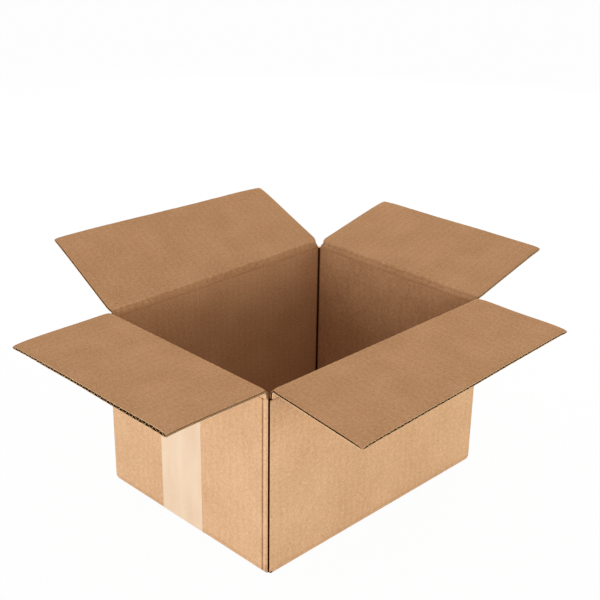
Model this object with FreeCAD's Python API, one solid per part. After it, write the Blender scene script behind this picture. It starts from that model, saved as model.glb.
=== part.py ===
"""Open carton of single-wall corrugated board, with its four top flaps folded outwards.

The carton is one slotted and creased sheet. Its long walls face -Y (front) and +Y (back), its
end walls face -X (left) and +X (right). The bottom flaps are folded in, the short ones first, and
one strip of tape holds them. The sheet is one solid up to the creases of its top flaps. Each top
flap and the crushed strip of board that it bends on are solids of their own, because they move.

Units are millimetres and degrees. The origin is on the floor, under the middle of the carton.
"""
import FreeCAD, Part
import math
import os

Vector = FreeCAD.Vector
os.makedirs("parts", exist_ok=True)

# Carton, measured inside; its height is clear between the folded bottom and closed end flaps
inner_length = 260.0
inner_width = 200.0
inner_height = 150.0

# Board: C flute, two liners on a waved medium
board = 4.0
liner = 0.5
medium = 0.4
flute_pitch = 7.8

# A hollow of the board reaches this share of a wave to each side, in this many straight steps
hollow_reach = 0.42
hollow_steps = 5

# Clearance between board edges and faces that pass each other when the flaps close
clearance = 0.3

# Vertical folds, and the glued joint at the corner of the front and left walls
fold_radius = 4.0
joint_fold_radius = 3.0
joint_fold_end = 254.0
joint_setback = 1.5
tab_width = 32.0
tab_thickness = 3.0
tab_taper = 10.0
tab_end_gap = 2.0

# Bottom folds, and the climb of the short bottom flaps over the edges of the long ones
bottom_fold_radius = 4.0
climb_length = 8.0
valley_rise = 0.7
layer_gap = 0.1

# Top creases: how deep the score is pressed, and how far the flutes stay crushed past it
score_depth = 0.9
lobe_rise = 0.15
crushed_length = 3.0
crease_gap = 0.05

# Top flaps: their depth from the crease, and how far each stands open, from straight up
top_flap_depth = 92.0
front_angle = 93.0
back_angle = 63.2
left_end_angle = 89.6
right_end_angle = 76.2

# Tape along the bottom seam and up both end walls, torn off over a toothed cutter
tape_width = 53.0
tape_offset = 4.8
tape_thickness = 0.2
tape_gap = 0.03
tape_left_height = 120.0
tape_right_height = 78.0
tape_tooth = 2.2
tape_tooth_depth = 1.0

# Sizes that follow
outer_length = inner_length + 2 * board
outer_width = inner_width + 2 * board
bottom_flap_depth = outer_width / 2 - clearance
slot_half = board + clearance
long_half_run = outer_length / 2 - slot_half
short_half_run = outer_width / 2 - slot_half
floor_low = board
floor_high = floor_low + layer_gap + board
wall_top = floor_high + inner_height + board
tape_seat = tape_thickness + tape_gap

# The long flaps close over the short ones, which close flush with the walls' top edge, and all
# four lie level when they stand straight out, so the hinge lines differ
long_hinge_out = clearance / 2
long_hinge_up = wall_top + clearance + board + long_hinge_out
short_hinge_out = clearance + board / 2
short_hinge_up = wall_top + short_hinge_out


def point(out, up):
    """A point of a wall's cross-section: out from its outer face, and up from the floor."""
    return Vector(0, -out, up)


def arc_points(centre, across, upwards, radius, middle, end):
    """The middle and end points of an arc, at angles measured from across towards upwards."""
    angles = [math.radians(middle), math.radians(end)]
    return tuple(
        centre + across * (radius * math.cos(a)) + upwards * (radius * math.sin(a)) for a in angles
    )


def loop(*items):
    """A face inside points joined by lines, or by an arc where an item is a (middle, end) pair."""
    edges = []
    here = items[0]
    for item in items[1:] + (items[0],):
        if isinstance(item, tuple):
            middle, there = item
            edges.append(Part.Arc(here, middle, there).toShape())
        else:
            there = item
            edges.append(Part.makeLine(here, there))
        here = there
    return Part.Face(Part.Wire(edges))


def along_wall(section, half_run):
    """The solid of a cross-section carried along its wall, half_run to each side of the middle."""
    solid = section.extrude(Vector(2 * half_run, 0, 0))
    solid.translate(Vector(-half_run, 0, 0))
    return solid


def on_side(shape, reach, turn):
    """Puts a shape made for the front wall on the wall whose outer face is reach from the middle."""
    shape.translate(Vector(0, -reach, 0))
    shape.rotate(Vector(0, 0, 0), Vector(0, 0, 1), turn)
    return shape


def flute_hollow(centre, under_outer_liner):
    """The outline in plan of one hollow of the board, between a liner and the waved medium.

    The medium lies swing cos(2 pi x/pitch) from the middle of the board. The hollow follows its
    face over most of one wave, and its other side is flat along the liner.
    """
    swing = board / 2 - liner - medium / 2
    outline = []
    for step in range(hollow_steps + 1):
        share = hollow_reach * (2 * step / hollow_steps - 1)
        deep = board / 2 + swing * math.cos(2 * math.pi * share) - medium / 2
        if step in (0, hollow_steps):
            deep = liner
        inwards = deep if under_outer_liner else board - deep
        outline.append(Vector(centre + share * flute_pitch, inwards, 0))
    return loop(*outline)


def flute_hollows(half_run, low, high):
    """The hollows of a panel that is 2 half_run wide, as upright prisms from low to high."""
    prisms = []
    most = math.floor(2 * half_run / flute_pitch)
    for half_wave in range(-most, most + 1):
        hollow = flute_hollow(half_wave * flute_pitch / 2, half_wave % 2 == 0)
        hollow.translate(Vector(0, 0, low))
        prisms.append(hollow.extrude(Vector(0, 0, high - low)))
    return prisms


def wall_ring():
    """The four walls: the sheet goes once round, and its two ends meet at the glued joint."""
    east = Vector(1, 0, 0)
    north = Vector(0, 1, 0)
    x = outer_length / 2
    y = outer_width / 2
    r = fold_radius
    joint_r = joint_fold_radius
    raw_edge = -x + joint_setback
    inside_front = -y + board

    def fold(centre_x, centre_y, middle, end):
        return arc_points(Vector(centre_x, centre_y, 0), east, north, r, middle, end)

    # At the joint the left wall folds inwards behind the front wall's raw edge, and glue fills
    # the end of the wedge between them
    joint_centre = Vector(-x + joint_r, inside_front + joint_r, 0)
    joint_middle = (180 + joint_fold_end) / 2
    joint_fold = arc_points(joint_centre, east, north, joint_r, joint_middle, joint_fold_end)
    outline = loop(
        Vector(raw_edge, -y, 0),
        Vector(x - r, -y, 0),
        fold(x - r, -y + r, -45, 0),
        Vector(x, y - r, 0),
        fold(x - r, y - r, 45, 90),
        Vector(-x + r, y, 0),
        fold(-x + r, y - r, 135, 180),
        Vector(-x, inside_front + joint_r, 0),
        joint_fold,
        Vector(joint_fold[1].x, inside_front, 0),
        Vector(raw_edge, inside_front, 0),
    )
    height = wall_top - floor_low
    ring = outline.extrude(Vector(0, 0, height))
    inside = Part.makeBox(inner_length, inner_width, height)
    inside.translate(Vector(-inner_length / 2, -inner_width / 2, 0))
    open_flute = flute_hollow(raw_edge, True).extrude(Vector(0, 0, height))
    open_flute.translate(Vector(0, -y, 0))
    ring = ring.cut([inside, open_flute])
    ring.translate(Vector(0, 0, floor_low))
    return ring


def glue_tab():
    """The end of the sheet inside the front wall, crushed thin, with both its ends tapered."""
    fold = -inner_length / 2
    root = fold - (board - joint_fold_radius) / 2
    free = fold + tab_width
    low = floor_high + tab_end_gap
    high = wall_top - board - 2 * clearance
    glued = -inner_width / 2
    outline = loop(
        Vector(root, glued, low),
        Vector(fold, glued, low),
        Vector(free, glued, low + tab_taper),
        Vector(free, glued, high - tab_taper),
        Vector(fold, glued, high),
        Vector(root, glued, high),
    )
    return outline.extrude(Vector(0, tab_thickness, 0))


def long_bottom_flap():
    """A long wall's bottom flap: round its fold, then flat on the floor to the seam."""
    r = bottom_fold_radius
    bend = r * (1 - math.sqrt(0.5))
    section = loop(
        point(0, floor_low + r),
        point(0, r),
        (point(-bend, bend), point(-r, 0)),
        point(-bottom_flap_depth, 0),
        point(-bottom_flap_depth, floor_low),
        point(-board, floor_low),
        point(-board, floor_low + r),
    )
    return along_wall(section, long_half_run)


def short_bottom_flap():
    """An end wall's bottom flap: round its fold, then up over the edges of the long flaps."""
    r = bottom_fold_radius
    bend = r * (1 - math.sqrt(0.5))
    under = floor_low + layer_gap
    section = loop(
        point(0, floor_high),
        point(0, tape_seat + r),
        (point(-bend, tape_seat + bend), point(-r, tape_seat)),
        point(-r - climb_length, under),
        point(-bottom_flap_depth, under),
        point(-bottom_flap_depth, floor_high),
        point(-board - climb_length, floor_high),
        point(-board, floor_low + tape_seat + valley_rise),
        point(-board, floor_high),
    )
    return along_wall(section, short_half_run)


def carton():
    """The walls with the glue tab and the folded bottom, all one sheet."""
    pieces = [glue_tab()]
    for reach, turn, flap in (
        (outer_width / 2, 0, long_bottom_flap),
        (outer_length / 2, 90, short_bottom_flap),
        (outer_width / 2, 180, long_bottom_flap),
        (outer_length / 2, 270, short_bottom_flap),
    ):
        pieces.append(on_side(flap(), reach, turn))

    # The bottom gives way under the tape, so that both are level below
    bed_width = tape_width + 2 * clearance
    tape_bed = Part.makeBox(outer_length, bed_width, tape_seat)
    tape_bed.translate(Vector(-outer_length / 2, tape_offset - bed_width / 2, 0))
    return wall_ring().fuse(pieces).cut(tape_bed).removeSplitter()


def top_crease(hinge_out, hinge_up, angle, half_run):
    """The crushed strip that bends from a wall's top edge, round the hinge line, to its flap.

    Its outer liner turns close round the hinge line. Its inner liner, stretched round the
    outside of the bend, rises in two low lobes with the pressed score between them.
    """
    hinge = point(hinge_out, hinge_up)
    inwards = point(-1, 0)
    upwards = point(0, 1)
    tight = hinge_out
    wide = hinge_out + board
    turned = math.radians(angle)
    along_flap = point(math.sin(turned), math.cos(turned)) * (wide + clearance)

    def bend(radius, middle, end):
        return arc_points(hinge, inwards, upwards, radius, middle, end)

    score = bend(wide - score_depth, angle / 2, angle / 2)[1]
    first_lobe = bend(wide + lobe_rise, angle / 4, angle / 4)[0]
    second_lobe = bend(wide + lobe_rise, angle * 3 / 4, angle * 3 / 4)[0]
    wide_end = bend(wide, 0, angle)[1]
    tight_end = bend(tight, 0, angle)[1]
    section = loop(
        point(-board, wall_top),
        point(-board, hinge_up),
        (first_lobe, score),
        (second_lobe, wide_end),
        wide_end + along_flap,
        tight_end + along_flap,
        tight_end,
        bend(tight, angle / 2, 0),
        point(0, wall_top),
    )
    return along_wall(section, half_run)


def top_flap(hinge_out, hinge_up, angle, half_run):
    """A top flap past its crease: liners and waved medium, with open flutes at its cut edges."""
    low = hinge_up + hinge_out + board + clearance + crease_gap
    high = hinge_up + hinge_out + top_flap_depth
    panel = Part.makeBox(2 * half_run, board, high - low)
    panel.translate(Vector(-half_run, 0, low))
    flap = panel.cut(flute_hollows(half_run, low + crushed_length, high + clearance))
    flap.rotate(point(hinge_out, hinge_up), Vector(1, 0, 0), angle)
    return flap


def packing_tape():
    """The tape: up the left wall, under the seam and up the right wall, hugging both folds."""
    east = Vector(1, 0, 0)
    up = Vector(0, 0, 1)
    fold_x = outer_length / 2 - bottom_fold_radius
    fold_z = tape_seat + bottom_fold_radius
    glued = bottom_fold_radius + tape_gap
    bare = glued + tape_thickness
    left = Vector(-fold_x, 0, fold_z)
    right = Vector(fold_x, 0, fold_z)
    strip = loop(
        Vector(-fold_x - bare, 0, tape_left_height),
        Vector(-fold_x - bare, 0, fold_z),
        arc_points(left, east, up, bare, 225, 270),
        Vector(fold_x, 0, fold_z - bare),
        arc_points(right, east, up, bare, 315, 360),
        Vector(fold_x + bare, 0, tape_right_height),
        Vector(fold_x + glued, 0, tape_right_height),
        Vector(fold_x + glued, 0, fold_z),
        arc_points(right, east, up, glued, 315, 270),
        Vector(-fold_x, 0, fold_z - glued),
        arc_points(left, east, up, glued, 225, 180),
        Vector(-fold_x - glued, 0, tape_left_height),
    ).extrude(Vector(0, tape_width, 0))

    # Each end keeps the teeth of the cutter that it was torn off over
    teeth = max(1, round(tape_width / tape_tooth))
    tooth = tape_width / teeth
    for end, height in ((-1, tape_left_height), (1, tape_right_height)):
        ridge = []
        for half_tooth in range(2 * teeth + 1):
            dip = tape_tooth_depth if half_tooth % 2 == 0 else 0
            ridge.append(Vector(0, half_tooth * tooth / 2, height - dip))
        above = height + tape_tooth_depth
        over = [Vector(0, tape_width, above), Vector(0, 0, above)]
        waste = loop(*ridge, *over).extrude(Vector(2 * bare, 0, 0))
        waste.translate(Vector(end * (fold_x + bare) - bare, 0, 0))
        strip = strip.cut(waste)
    strip.translate(Vector(0, tape_offset - tape_width / 2, 0))
    return strip


def save(name, shape):
    """Writes one solid as its own file."""
    assert shape.isValid() and len(shape.Solids) == 1, name
    shape.Solids[0].exportStep("parts/" + name + ".step")


save("carton", carton())
save("packing_tape", packing_tape())
for name, reach, turn, half_run, hinge_out, hinge_up, angle in (
    ("front", outer_width / 2, 0, long_half_run, long_hinge_out, long_hinge_up, front_angle),
    ("right_end", outer_length / 2, 90, short_half_run, short_hinge_out, short_hinge_up, right_end_angle),
    ("back", outer_width / 2, 180, long_half_run, long_hinge_out, long_hinge_up, back_angle),
    ("left_end", outer_length / 2, 270, short_half_run, short_hinge_out, short_hinge_up, left_end_angle),
):
    crease = top_crease(hinge_out, hinge_up, angle, half_run)
    flap = top_flap(hinge_out, hinge_up, angle, half_run)
    save(name + "_crease", on_side(crease, reach, turn))
    save(name + "_flap", on_side(flap, reach, turn))
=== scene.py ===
import math

import bpy
import numpy as np
from mathutils import Matrix, Vector


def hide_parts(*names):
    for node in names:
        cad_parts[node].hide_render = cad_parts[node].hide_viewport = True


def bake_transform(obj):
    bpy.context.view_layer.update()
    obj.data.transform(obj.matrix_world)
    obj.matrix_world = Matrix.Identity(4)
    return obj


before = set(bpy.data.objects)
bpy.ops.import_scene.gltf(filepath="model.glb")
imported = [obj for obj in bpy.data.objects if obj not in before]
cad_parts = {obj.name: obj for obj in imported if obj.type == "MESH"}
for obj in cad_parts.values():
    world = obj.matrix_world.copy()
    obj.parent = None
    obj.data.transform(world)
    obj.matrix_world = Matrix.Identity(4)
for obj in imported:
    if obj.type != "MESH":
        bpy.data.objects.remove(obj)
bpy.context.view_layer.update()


# The walls: one slotted sheet of brown single-wall corrugated board, folded round four corners,
# glued at one and closed below with its bottom flaps. The paper shows its flutes, its fibres and
# its pressed crease lines, with painted shade in the open flute at the glued joint and in the
# inner corners.
flute_pitch = 0.0078
outer_length = 0.268
outer_width = 0.208
wall_top = 0.1621
joint_setback = 0.0015
wall_rim_within = 0.0035
mix_colours = {"data_type": "RGBA", "clamp_factor": True}


def linear(red, green, blue):
    """A colour written as 0 to 255 screen values, as the linear values that shaders take."""
    screen = np.array([red, green, blue]) / 255
    low = screen / 12.92
    high = ((screen + 0.055) / 1.055) ** 2.4
    return (*np.where(screen <= 0.04045, low, high), 1.0)


outer_deep = linear(191, 148, 108)
outer_pale = linear(240, 202, 162)
inner_deep = linear(149, 106, 70)
inner_pale = linear(208, 162, 121)
# painted shade: a dark brown that stands in for the shade in open gaps and deep inner corners
painted_gap_shade = linear(52, 20, 4)


class Signal:
    """A socket in a material's nodes: arithmetic on signals adds the Math nodes that it needs."""

    def __init__(self, tree, socket):
        self.tree = tree
        self.socket = socket

    def node(self, kind, settings, sockets, out=0):
        """Adds a node: its settings first, then the value or link of each socket, by name or place."""
        made = self.tree.nodes.new(kind)
        for key, value in settings.items():
            if key == "stops":
                ramp = made.color_ramp
                while len(ramp.elements) < len(value):
                    ramp.elements.new(0.5)
                for element, (place, shade) in zip(ramp.elements, value):
                    element.position = place
                    element.color = (shade, shade, shade, 1)
            else:
                setattr(made, key, value)
        for key, value in sockets.items():
            if isinstance(value, Signal):
                self.tree.links.new(value.socket, made.inputs[key])
            else:
                made.inputs[key].default_value = value
        return Signal(self.tree, made.outputs[out]) if made.outputs else None

    def maths(self, operation, *values):
        return self.node("ShaderNodeMath", {"operation": operation}, dict(enumerate(values)))

    def __add__(self, other):
        return self.maths("ADD", self, other)

    def __sub__(self, other):
        return self.maths("SUBTRACT", self, other)

    def __rsub__(self, other):
        return self.maths("SUBTRACT", other, self)

    def __mul__(self, other):
        return self.maths("MULTIPLY", self, other)

    def __truediv__(self, other):
        return self.maths("DIVIDE", self, other)

    def __abs__(self):
        return self.maths("ABSOLUTE", self)

    __radd__ = __add__
    __rmul__ = __mul__

    def above(self, value):
        return self.maths("GREATER_THAN", self, value)

    def below(self, value):
        return self.maths("LESS_THAN", self, value)

    def within(self, middle, width):
        """1 where this signal is middle, falling smoothly to 0 at width to each side of it."""
        near = self.maths("MAXIMUM", 1 - abs(self - middle) / width, 0.0)
        return near * near * (3 - 2 * near)


def new_finish(name):
    """An empty material, and the signal that its nodes are built from."""
    finish = bpy.data.materials.new(name)
    finish.use_nodes = True
    finish.node_tree.nodes.clear()
    return finish, Signal(finish.node_tree, None)


def put_surface(start, principled):
    start.node("ShaderNodeOutputMaterial", {}, {"Surface": principled})


def paper(start, place, across, deep, pale, marks_and_painted_light, pressed):
    """Brown paper over flutes, as a closed set of nodes that ends in the material's surface.

    place is where the fibres are drawn, across is the distance over the flutes, deep and pale are
    the paper's two tones, marks lightens or darkens (by 1 from the one tone to the other, and by
    1 more to painted shade, a dark brown that stands in for the shade in an open gap), and
    pressed lowers the surface. Besides real marks, marks carries painted shade and painted highlight.
    """
    cloud = start.node("ShaderNodeTexNoise", {}, {"Vector": place, "Scale": 32.0, "Detail": 4.0})
    mottle = start.node(
        "ShaderNodeTexNoise", {}, {"Vector": place, "Scale": 450.0, "Detail": 5.0, "Roughness": 0.65}
    )
    along_machine = start.node(
        "ShaderNodeMapping", {}, {"Vector": place, "Scale": (0.25, 1.0, 1.0), "Rotation": (0.4, 0.2, 0.3)}
    )
    fibre = start.node(
        "ShaderNodeTexNoise", {}, {"Vector": along_machine, "Scale": 1500.0, "Detail": 3.0, "Roughness": 0.7}
    )
    fleck = start.node("ShaderNodeTexNoise", {}, {"Vector": place, "Scale": 620.0, "Detail": 1.0})
    dark_fleck = start.node("ShaderNodeValToRGB", {"stops": ((0.66, 0.0), (0.74, 1.0))}, {"Fac": fleck})
    pale_fleck = start.node("ShaderNodeValToRGB", {"stops": ((0.26, 1.0), (0.34, 0.0))}, {"Fac": fleck})
    wave = across.maths("COSINE", across * (2 * math.pi / flute_pitch))
    tone = (
        0.5
        + 0.38 * (cloud - 0.5)
        + 1.1 * (mottle - 0.5)
        + 0.5 * (fibre - 0.5)
        + 0.022 * wave
        - 0.28 * dark_fleck
        + 0.2 * pale_fleck
        + marks_and_painted_light
    )
    clean = start.node("ShaderNodeMix", mix_colours, {0: tone, 6: deep, 7: pale}, 2)
    colour = start.node("ShaderNodeMix", mix_colours, {0: 1 + tone, 6: painted_gap_shade, 7: clean}, 2)
    height = 0.00003 * wave + 0.00016 * mottle + 0.00003 * fibre - 0.001 * pressed
    bump = start.node("ShaderNodeBump", {}, {"Height": height, "Strength": 0.6, "Distance": 1.0})
    rough = 0.8 + 0.15 * (mottle - 0.5)
    put_surface(start, start.node(
        "ShaderNodeBsdfPrincipled",
        {},
        {"Base Color": colour, "Roughness": rough, "Normal": bump, "Specular IOR Level": 0.0},
    ))


wall_finish, start = new_finish("kraft_walls")
position = start.node("ShaderNodeTexCoord", {}, {}, "Object")
facing = start.node("ShaderNodeTexCoord", {}, {}, "Normal")
x = start.node("ShaderNodeSeparateXYZ", {}, {"Vector": position}, 0)
y = start.node("ShaderNodeSeparateXYZ", {}, {"Vector": position}, 1)
z = start.node("ShaderNodeSeparateXYZ", {}, {"Vector": position}, 2)
on_end = abs(start.node("ShaderNodeSeparateXYZ", {}, {"Vector": facing}, 0))
on_end = on_end.above(0.5)
across = x + (y - x) * on_end
bottom_press = z.within(0.0052, 0.0016)
inside = abs(x).below(outer_length / 2 - wall_rim_within) * abs(y).below(outer_width / 2 - wall_rim_within)
top_press = z.within(wall_top, 0.0018) * (1 - inside)
fold_x = abs(x).within(outer_length / 2 - 0.004, 0.0026)
fold_y = abs(y).within(outer_width / 2 - 0.004, 0.0026)
# the pressed fold in each inner corner, darkened past the paper's tones to the painted gap shade: partly the
# crease's own mark, partly painted shade
inner_corner_shade = fold_x * fold_y * inside
raw_edge = joint_setback - outer_length / 2
# painted shade: the hollow of the open flute at the glued joint, painted dark brown where it lies in shadow
open_flute_shade = x.above(raw_edge + 0.0001) * x.below(raw_edge + 0.004) * y.below(-0.1002) * y.above(-0.1036)
tab_crease = y.within(-0.0966, 0.0017) * x.below(-0.1332)
crushed_strip = y.below(-0.0970) * y.above(-0.1002) * x.below(raw_edge)
deep = start.node("ShaderNodeMix", mix_colours, {0: inside, 6: outer_deep, 7: inner_deep}, 2)
pale = start.node("ShaderNodeMix", mix_colours, {0: inside, 6: outer_pale, 7: inner_pale}, 2)
# real marks of the paper, together with painted shade in the open flute and the inner corners
wall_marks_and_shade = (
    0.12 * crushed_strip
    - 0.3 * top_press
    - 0.18 * bottom_press
    - 2 * inner_corner_shade
    - 3 * open_flute_shade
    - 0.9 * tab_crease
)
paper(
    start,
    position,
    across,
    deep,
    pale,
    wall_marks_and_shade,
    0.25 * top_press + 0.1 * bottom_press + 0.2 * tab_crease,
)
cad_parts["carton"].data.materials.clear()
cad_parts["carton"].data.materials.append(wall_finish)


# The four top flaps: the same sheet past the creases of the walls, so each is two paper liners on
# a waved medium, crushed where it bends, with the flutes open along its cut edges.
board = 0.004
liner = 0.00032
medium = 0.00022
clearance = 0.0003
top_flap_depth = 0.092
score_depth = 0.0009
lobe_rise = 0.0003


def shell(face, back):
    """A closed thin shell between two grids of points that match, as (points, quads, kinds).

    Kind 0 is the face, 1 the back, 2 the rim at the first and last row, and 3 the rim at the first
    and last column.
    """
    rows, columns = face.shape[:2]
    total = rows * columns
    index = np.arange(total).reshape(rows, columns)
    front = np.stack([index[:-1, :-1], index[1:, :-1], index[1:, 1:], index[:-1, 1:]], -1).reshape(-1, 4)
    ring = np.concatenate([index[0, :-1], index[:-1, -1], index[-1, :0:-1], index[:0:-1, 0]])
    after = np.roll(ring, -1)
    rim = np.stack([ring, after, after + total, ring + total], -1)
    quads = np.concatenate([front, front[:, ::-1] + total, rim])
    rim_kinds = np.tile(np.repeat([2, 3], [columns - 1, rows - 1]), 2)
    kinds = np.concatenate([np.repeat([0, 1], len(front)), rim_kinds])
    points = np.concatenate([face.reshape(-1, 3), back.reshape(-1, 3)])
    a, b, c, d = (points[quads[:, k]] for k in range(4))
    middle = (a + b + c + d) / 4
    outwards = np.einsum("ij,ij->i", middle - points.mean(0), np.cross(c - a, d - b)).sum()
    if outwards < 0:
        quads = quads[:, ::-1]
    return points, quads, kinds


def ripple(across, along, seed, count, longest):
    """A slow unevenness from -1 to 1: a few sine waves with lengths near longest, phases by seed."""
    chance = np.random.default_rng(seed)
    total = np.zeros(np.broadcast(across, along).shape)
    for step in range(count):
        length = longest * chance.uniform(0.35, 1.0)
        turn = chance.uniform(0, math.pi)
        way = across * math.cos(turn) + along * math.sin(turn)
        total = total + np.sin(2 * math.pi * way / length + chance.uniform(0, 2 * math.pi))
    return total / count


def flap_grid(flap, across, steps, depth_of):
    """Points of one layer of a flap, on the grid of across (over the flutes) by steps (along them).

    The layer's middle line goes up the wall, round the hinge line at the radius of the board's
    middle, and straight out; depth_of gives how far the layer lies from it towards the inner face.
    """
    middle_radius = flap["hinge_out"] + board / 2
    below = np.clip(steps, None, 0)
    turned = np.clip(steps, 0, flap["arc"]) / middle_radius
    beyond = np.clip(steps - flap["arc"], 0, None)
    out = flap["hinge_out"] - middle_radius * np.cos(turned) + beyond * np.sin(turned)
    up = flap["hinge_up"] + below + middle_radius * np.sin(turned) + beyond * np.cos(turned)
    out, up, turned = out[None, :], up[None, :], turned[None, :]
    run, past, beyond = across[:, None], (steps - flap["arc"] / 2)[None, :], beyond[None, :]
    lean = math.tan(math.radians(flap["twist"])) * run / flap["half_run"] * beyond
    fade = np.minimum(beyond / top_flap_depth * 4, 1)
    wander = 0.0005 * fade * ripple(run, beyond, flap["seed"], 5, 0.16)
    to_corner = np.hypot(flap["half_run"] - np.abs(run), flap["end"] - past)
    dog_ear = -0.0011 * fade * np.exp(-to_corner / 0.009)
    depth = depth_of(run, past, flap) + lean + wander + dog_ear
    out = out - depth * np.cos(turned)
    up = up + depth * np.sin(turned)
    first, last = flap["flare"]
    flare = (first + (last - first) * (0.5 + 0.5 * run / flap["half_run"])) * np.exp(-((past / 0.0036) ** 2))
    side = run * (1 - flare / flap["half_run"])
    reach = flap["reach"] + out
    cosine, sine = math.cos(math.radians(flap["turn"])), math.sin(math.radians(flap["turn"]))
    return np.stack([side * cosine + reach * sine, side * sine - reach * cosine, up], -1)


def half_board(across, past, flap):
    """Half the board's thickness, less where a blade pinched it: along the side edges, and at the
    free edge by a share that goes from one end's to the other's, fading over a millimetre or two."""
    from_side = flap["half_run"] - np.abs(across)
    from_free = flap["end"] - past
    first, last = flap["knife"]
    knife = first + (last - first) * (0.5 + 0.5 * across / flap["half_run"])
    knife = knife + 0.06 * ripple(across, 0 * across, flap["seed"] + 20, 6, 0.05)
    return board / 2 * (1 - 0.42 * np.exp(-from_side / 0.0014) - knife * np.exp(-from_free / 0.002))


def inner_face(across, past, flap):
    """The inner liner's face over the bend: two low lobes, pinched at each flute, and a score."""
    pinch = 0.72 + 0.28 * np.cos(2 * math.pi * across / flute_pitch)
    lobes = np.exp(-(((np.abs(past) - 0.0021) / 0.0011) ** 2))
    score = np.exp(-((past / 0.0008) ** 2))
    return half_board(across, past, flap) + lobe_rise * pinch * lobes - score_depth * score


def outer_face(across, past, flap):
    """The outer liner's face: tight round the bend, pressed in a little on the wall below it."""
    pressed = 1 / (1 + np.exp((past + flap["arc"] / 2) / 0.0004))
    return 0.00022 * pressed - half_board(across, past, flap)


def medium_line(across, past, flap):
    """The medium's middle, a wave with narrow crests from the outer liner up to the inner one."""
    high = inner_face(across, past, flap) - liner - medium / 2
    low = outer_face(across, past, flap) + liner + medium / 2
    return low + (high - low) * (0.5 + 0.5 * np.cos(2 * math.pi * across / flute_pitch)) ** 1.5


def half_medium(across):
    """Half the medium's thickness measured through the board, more where the wave is steep."""
    swing = board / 2 - liner - medium / 2
    slope = 2 * math.pi * swing / flute_pitch * np.sin(2 * math.pi * across / flute_pitch)
    return medium / 2 * np.sqrt(1 + slope**2)


def make_flap(name, flap):
    """One flap with its crease: outer liner, medium and inner liner, as three shells in a mesh."""
    half = flap["half_run"]
    arc = flap["arc"]
    end = flap["end"] + arc / 2
    on_wall = np.linspace(wall_top - flap["hinge_up"], 0, 5)[:-1]
    bend = np.linspace(0, arc, 17)[:-1]
    crushed = np.linspace(arc, arc + 0.012, 9)[:-1]
    panel = np.linspace(arc + 0.012, end - 0.004, 13)[:-1]
    steps = np.concatenate([on_wall, bend, crushed, panel, np.linspace(end - 0.004, end, 6)])
    across = np.linspace(-half, half, round(2 * half / flute_pitch * 10) + 1)

    def layer(depth_of, inset):
        """The layer's grid, with its free edge cut a little ragged."""
        grid = flap_grid(flap, across, np.minimum(steps, end - inset), depth_of)
        way = grid[:, -8] - grid[:, -9]
        way = way / np.linalg.norm(way, axis=-1, keepdims=True)
        grid[:, -1] += way * (0.00016 * ripple(across, 0 * across, flap["seed"] + 7, 9, 0.011))[:, None]
        return grid

    layers = (
        (lambda s, p, f: outer_face(s, p, f) + liner, outer_face, 0.0, ("inside_shaded", "outer", "cut", "cut")),
        (
            lambda s, p, f: medium_line(s, p, f) + half_medium(s),
            lambda s, p, f: medium_line(s, p, f) - half_medium(s),
            0.0003,
            ("inside_shaded", "inside_shaded", "cut", "cut"),
        ),
        (inner_face, lambda s, p, f: inner_face(s, p, f) - liner, 0.0, ("inner", "inside_shaded", "inner", "cut")),
    )
    # the last finish, on the medium and the liners' faces inside the flutes, carries painted shade for the
    # flute channels
    finishes = ("inner", "outer", "cut", "inside_shaded")
    points, quads, kinds = [], [], []
    for face, back, inset, kind_names in layers:
        p, q, k = shell(layer(face, inset), layer(back, inset))
        quads.append(q + sum(len(other) for other in points))
        points.append(p)
        kinds.append(np.array([finishes.index(word) for word in kind_names])[k])
    mesh = bpy.data.meshes.new(name)
    mesh.from_pydata(np.concatenate(points), [], np.concatenate(quads))
    mesh.polygons.foreach_set("material_index", np.concatenate(kinds))
    mesh.polygons.foreach_set("use_smooth", np.ones(len(mesh.polygons), bool))
    flat = np.stack(np.broadcast_arrays(across[:, None], (steps - arc / 2)[None, :]), -1).reshape(-1, 2)
    of_point = np.tile(flat, (6, 1))
    corner = np.empty(len(mesh.loops), np.int32)
    mesh.loops.foreach_get("vertex_index", corner)
    mesh.uv_layers.new(name="sheet").data.foreach_set("uv", of_point[corner].ravel())
    mesh.set_sharp_from_angle(angle=math.radians(50))
    mesh.validate()
    piece = bpy.data.objects.new(name, mesh)
    bpy.context.scene.collection.objects.link(piece)
    return piece


def sheet_finish(name, side, deep, pale):
    """Paper on a flap, drawn on the sheet's own UV: over the flutes, and past the bend's middle."""
    finish, start = new_finish(name)
    place = start.node("ShaderNodeUVMap", {"uv_map": "sheet"}, {})
    across = start.node("ShaderNodeSeparateXYZ", {}, {"Vector": place}, 0)
    past = start.node("ShaderNodeSeparateXYZ", {}, {"Vector": place}, 1)
    spread = start.node("ShaderNodeMapping", {}, {"Vector": place, "Location": (0.7 * side, 0.4, 1.3 * side)})
    dots = across.maths("COSINE", across * (2 * math.pi / flute_pitch))
    score = past.within(-0.0006, 0.0016) * (0.8 - 0.15 * dots)
    # painted highlight: a paler band on the crease's upper lobe, dotted at each flute, where the lobe catches
    # the light
    lobe_highlight = past.within(0.0014, 0.0012) * (0.7 + 0.3 * dots)
    crushed = past.within(-0.0030, 0.0022)
    pressed_line = past.within(-0.0050, 0.0020)
    marks_and_painted_light = 0.16 * lobe_highlight - 0.22 * score + 0.04 * crushed - 0.12 * pressed_line
    paper(start, spread, across, deep, pale, marks_and_painted_light if side else 0.0 * score, 0.0 * score)
    return finish


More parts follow.
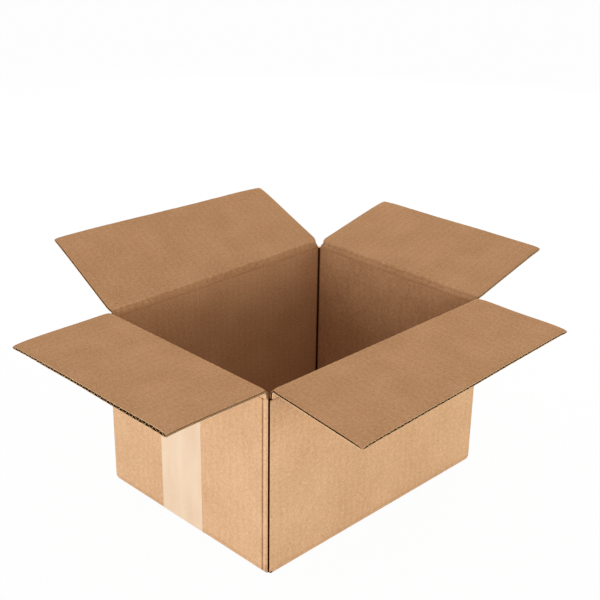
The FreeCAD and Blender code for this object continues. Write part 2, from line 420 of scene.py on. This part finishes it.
finishes = (
    sheet_finish("kraft_inner", 1, inner_deep, inner_pale),
    sheet_finish("kraft_outer", 0, outer_deep, outer_pale),
    sheet_finish("kraft_cut_edge", 0, linear(196, 152, 108), linear(250, 216, 172)),
    # the medium's own brown, darkened as painted shade for the flute channels seen along the cut edges
    sheet_finish("kraft_medium_painted_shade", 0, linear(70, 38, 12), linear(122, 80, 42)),
)
long_flap = {
    "half_run": outer_length / 2 - board - clearance,
    "hinge_out": clearance / 2,
    "hinge_up": wall_top + clearance + board + clearance / 2,
    "reach": outer_width / 2,
    "easing": 0.0,
}
short_flap = {
    "half_run": outer_width / 2 - board - clearance,
    "hinge_out": clearance + board / 2,
    "hinge_up": wall_top + clearance + board / 2,
    "reach": outer_length / 2,
    "easing": 0.005,
}
for side, turn, angle, twist, knife, flare, seed, kind in (
    ("front", 0, 93.0, 3.2, (0.38, 0.42), (0.0004, 0.0016), 3, long_flap),
    ("right_end", 90, 76.2, -0.8, (0.3, 0.2), (0.0005, 0.0026), 5, short_flap),
    ("back", 180, 63.2, 3.2, (0.2, 0.3), (0.0026, 0.0012), 8, long_flap),
    ("left_end", 270, 89.6, 0.0, (0.42, 0.08), (0.0014, 0.0004), 12, short_flap),
):
    arc = (kind["hinge_out"] + board / 2) * math.radians(angle)
    end = arc / 2 + kind["hinge_out"] + top_flap_depth
    flap = dict(kind, turn=turn, arc=arc, end=end, twist=twist, knife=knife, flare=flare, seed=seed)
    piece = make_flap(side + "_sheet", flap)
    for finish in finishes:
        piece.data.materials.append(finish)
    normal_out = -math.cos(math.radians(angle))
    normal_up = math.sin(math.radians(angle))
    wide = flap["hinge_out"] + board
    cosine, sine = math.cos(math.radians(turn)), math.sin(math.radians(turn))

    def in_frame(out, up):
        reach = flap["reach"] + flap["hinge_out"] + out
        return (reach * sine, -reach * cosine, flap["hinge_up"] + up)

    ease_out = wide * normal_out + flap["easing"] * normal_up
    ease_up = wide * normal_up - flap["easing"] * normal_out
    in_frame(-wide, 0)
    in_frame(ease_out, ease_up)
    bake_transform(piece)
    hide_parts(side + "_crease", side + "_flap")


# The tape: a strip of thin clear film, pressed over the bottom seam and up both end walls, torn off
# at its ends over a toothed cutter. Its pale colour is painted sheen: the film's whitish reflection,
# painted into its colour in streaks, over a real glossy coat.
tape_finish, start = new_finish("film_painted_sheen")
position = start.node("ShaderNodeTexCoord", {}, {}, "Object")
creep = start.node("ShaderNodeMapping", {}, {"Vector": position, "Scale": (1.0, 1.0, 0.3)})
sheen_and_ripple = start.node("ShaderNodeTexNoise", {}, {"Vector": creep, "Scale": 60.0, "Detail": 4.0})
grain = start.node("ShaderNodeTexNoise", {}, {"Vector": position, "Scale": 500.0, "Detail": 3.0})
tone = 0.5 + 1.1 * (sheen_and_ripple - 0.5) + 0.4 * (grain - 0.5)
# painted sheen: these pale tones stand in for the clear film's whitish reflection, streaked by the noise
# above
painted_sheen_deep = linear(224, 193, 157)
painted_sheen_pale = linear(245, 221, 191)
sheen_on_film = start.node("ShaderNodeMix", mix_colours, {0: tone, 6: painted_sheen_deep, 7: painted_sheen_pale}, 2)
height = 0.0003 * sheen_and_ripple + 0.00003 * grain
bump = start.node("ShaderNodeBump", {}, {"Height": height, "Strength": 0.5, "Distance": 1.0})
rough = 0.32 + 0.2 * (grain - 0.5)
put_surface(start, start.node(
    "ShaderNodeBsdfPrincipled",
    {},
    {"Base Color": sheen_on_film, "Roughness": rough, "Normal": bump, "Coat Weight": 0.3, "Coat Roughness": 0.2},
))
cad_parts["packing_tape"].data.materials.clear()
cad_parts["packing_tape"].data.materials.append(tape_finish)


# The studio: a plain white floor and surround, five soft lamps on all sides, and the camera where
# the photograph was taken from.
floor_half = 4
floor_low = -0.0003
floor_mesh = bpy.data.meshes.new("floor")
floor_corners = [(floor_half * a, floor_half * b, floor_low) for a, b in ((-1, -1), (1, -1), (1, 1), (-1, 1))]
floor_mesh.from_pydata(floor_corners, [], [(0, 1, 2, 3)])
floor = bpy.data.objects.new("floor", floor_mesh)
bpy.context.scene.collection.objects.link(floor)
floor_finish, start = new_finish("white_floor")
seen = start.node("ShaderNodeLightPath", {}, {}, "Is Camera Ray")
mirrored = start.node("ShaderNodeLightPath", {}, {}, "Is Glossy Ray")
lit = start.node("ShaderNodeBsdfDiffuse", {}, {"Color": (0.8, 0.8, 0.8, 1)})
white = start.node("ShaderNodeEmission", {}, {"Color": (1, 1, 1, 1), "Strength": 1.0})
share = start.maths("MINIMUM", seen + mirrored, 1.0) * 0.97
put_surface(start, start.node("ShaderNodeMixShader", {}, {0: share, 1: lit, 2: white}))
floor_mesh.materials.append(floor_finish)

world = bpy.data.worlds.new("surround")
bpy.context.scene.world = world
world.use_nodes = True
world.node_tree.nodes.clear()
start = Signal(world.node_tree, None)
seen = start.node("ShaderNodeLightPath", {}, {}, "Is Camera Ray")
mirrored = start.node("ShaderNodeLightPath", {}, {}, "Is Glossy Ray")
share = start.maths("MINIMUM", seen + mirrored, 1.0)
fill = start.node("ShaderNodeBackground", {}, {"Color": (1, 1, 1, 1), "Strength": 0.6})
white = start.node("ShaderNodeBackground", {}, {"Color": (1, 1, 1, 1), "Strength": 1.0})
surround = start.node("ShaderNodeMixShader", {}, {0: share, 1: fill, 2: white})
start.node("ShaderNodeOutputWorld", {}, {"Surface": surround})

for name, place, size, power, colour in (
    ("left_key", (-1.64, -0.65, 0.34), 0.7, 12.6, (1.0, 1.0, 1.03)),
    ("front_key", (0.58, -1.66, 0.34), 0.7, 6.0, (1.0, 0.95, 0.78)),
    ("top_soft", (-0.4, -0.6, 1.1), 0.8, 1.2, (1.0, 1.0, 1.0)),
    ("back_left", (-0.9, 1.17, 1.0), 1.0, 2.0, (1.0, 0.99, 0.97)),
    ("back_right", (1.17, 0.9, 0.66), 1.0, 20.0, (1.0, 0.99, 0.97)),
):
    lamp = bpy.data.lights.new(name, "AREA")
    lamp.color = colour
    lamp.shape = "DISK"
    lamp.size = size
    lamp.energy = power
    holder = bpy.data.objects.new(name, lamp)
    aim = Vector((0, 0, 0.1)) - Vector(place)
    holder.matrix_world = Matrix.Translation(place) @ aim.to_track_quat("-Z", "Y").to_matrix().to_4x4()
    bpy.context.scene.collection.objects.link(holder)

azimuth, elevation, roll = (math.radians(value) for value in (-45.25, 23.40, 0.89))
distance, right_shift, up_shift = (value * outer_width for value in (5.297, 0.0203, 0.7674))
level_share = math.cos(elevation)
back = Vector((math.sin(azimuth) * level_share, -math.cos(azimuth) * level_share, math.sin(elevation)))
level = Vector((math.cos(azimuth), math.sin(azimuth), 0))
upright = back.cross(level)
right = level * math.cos(roll) + upright * math.sin(roll)
above = upright * math.cos(roll) - level * math.sin(roll)
turned = Matrix((right, above, back)).transposed().to_4x4()
photo_width = 600
focal_pixels = 1159.3
lens = bpy.data.cameras.new("camera")
lens.sensor_width = 36
lens.lens = focal_pixels / photo_width * lens.sensor_width
lens.clip_start = 0.05
camera = bpy.data.objects.new("camera", lens)
camera.matrix_world = Matrix.Translation(back * distance + right * right_shift + above * up_shift) @ turned
bpy.context.scene.collection.objects.link(camera)
bpy.context.scene.camera = camera
bpy.context.scene.view_settings.view_transform = "Standard"
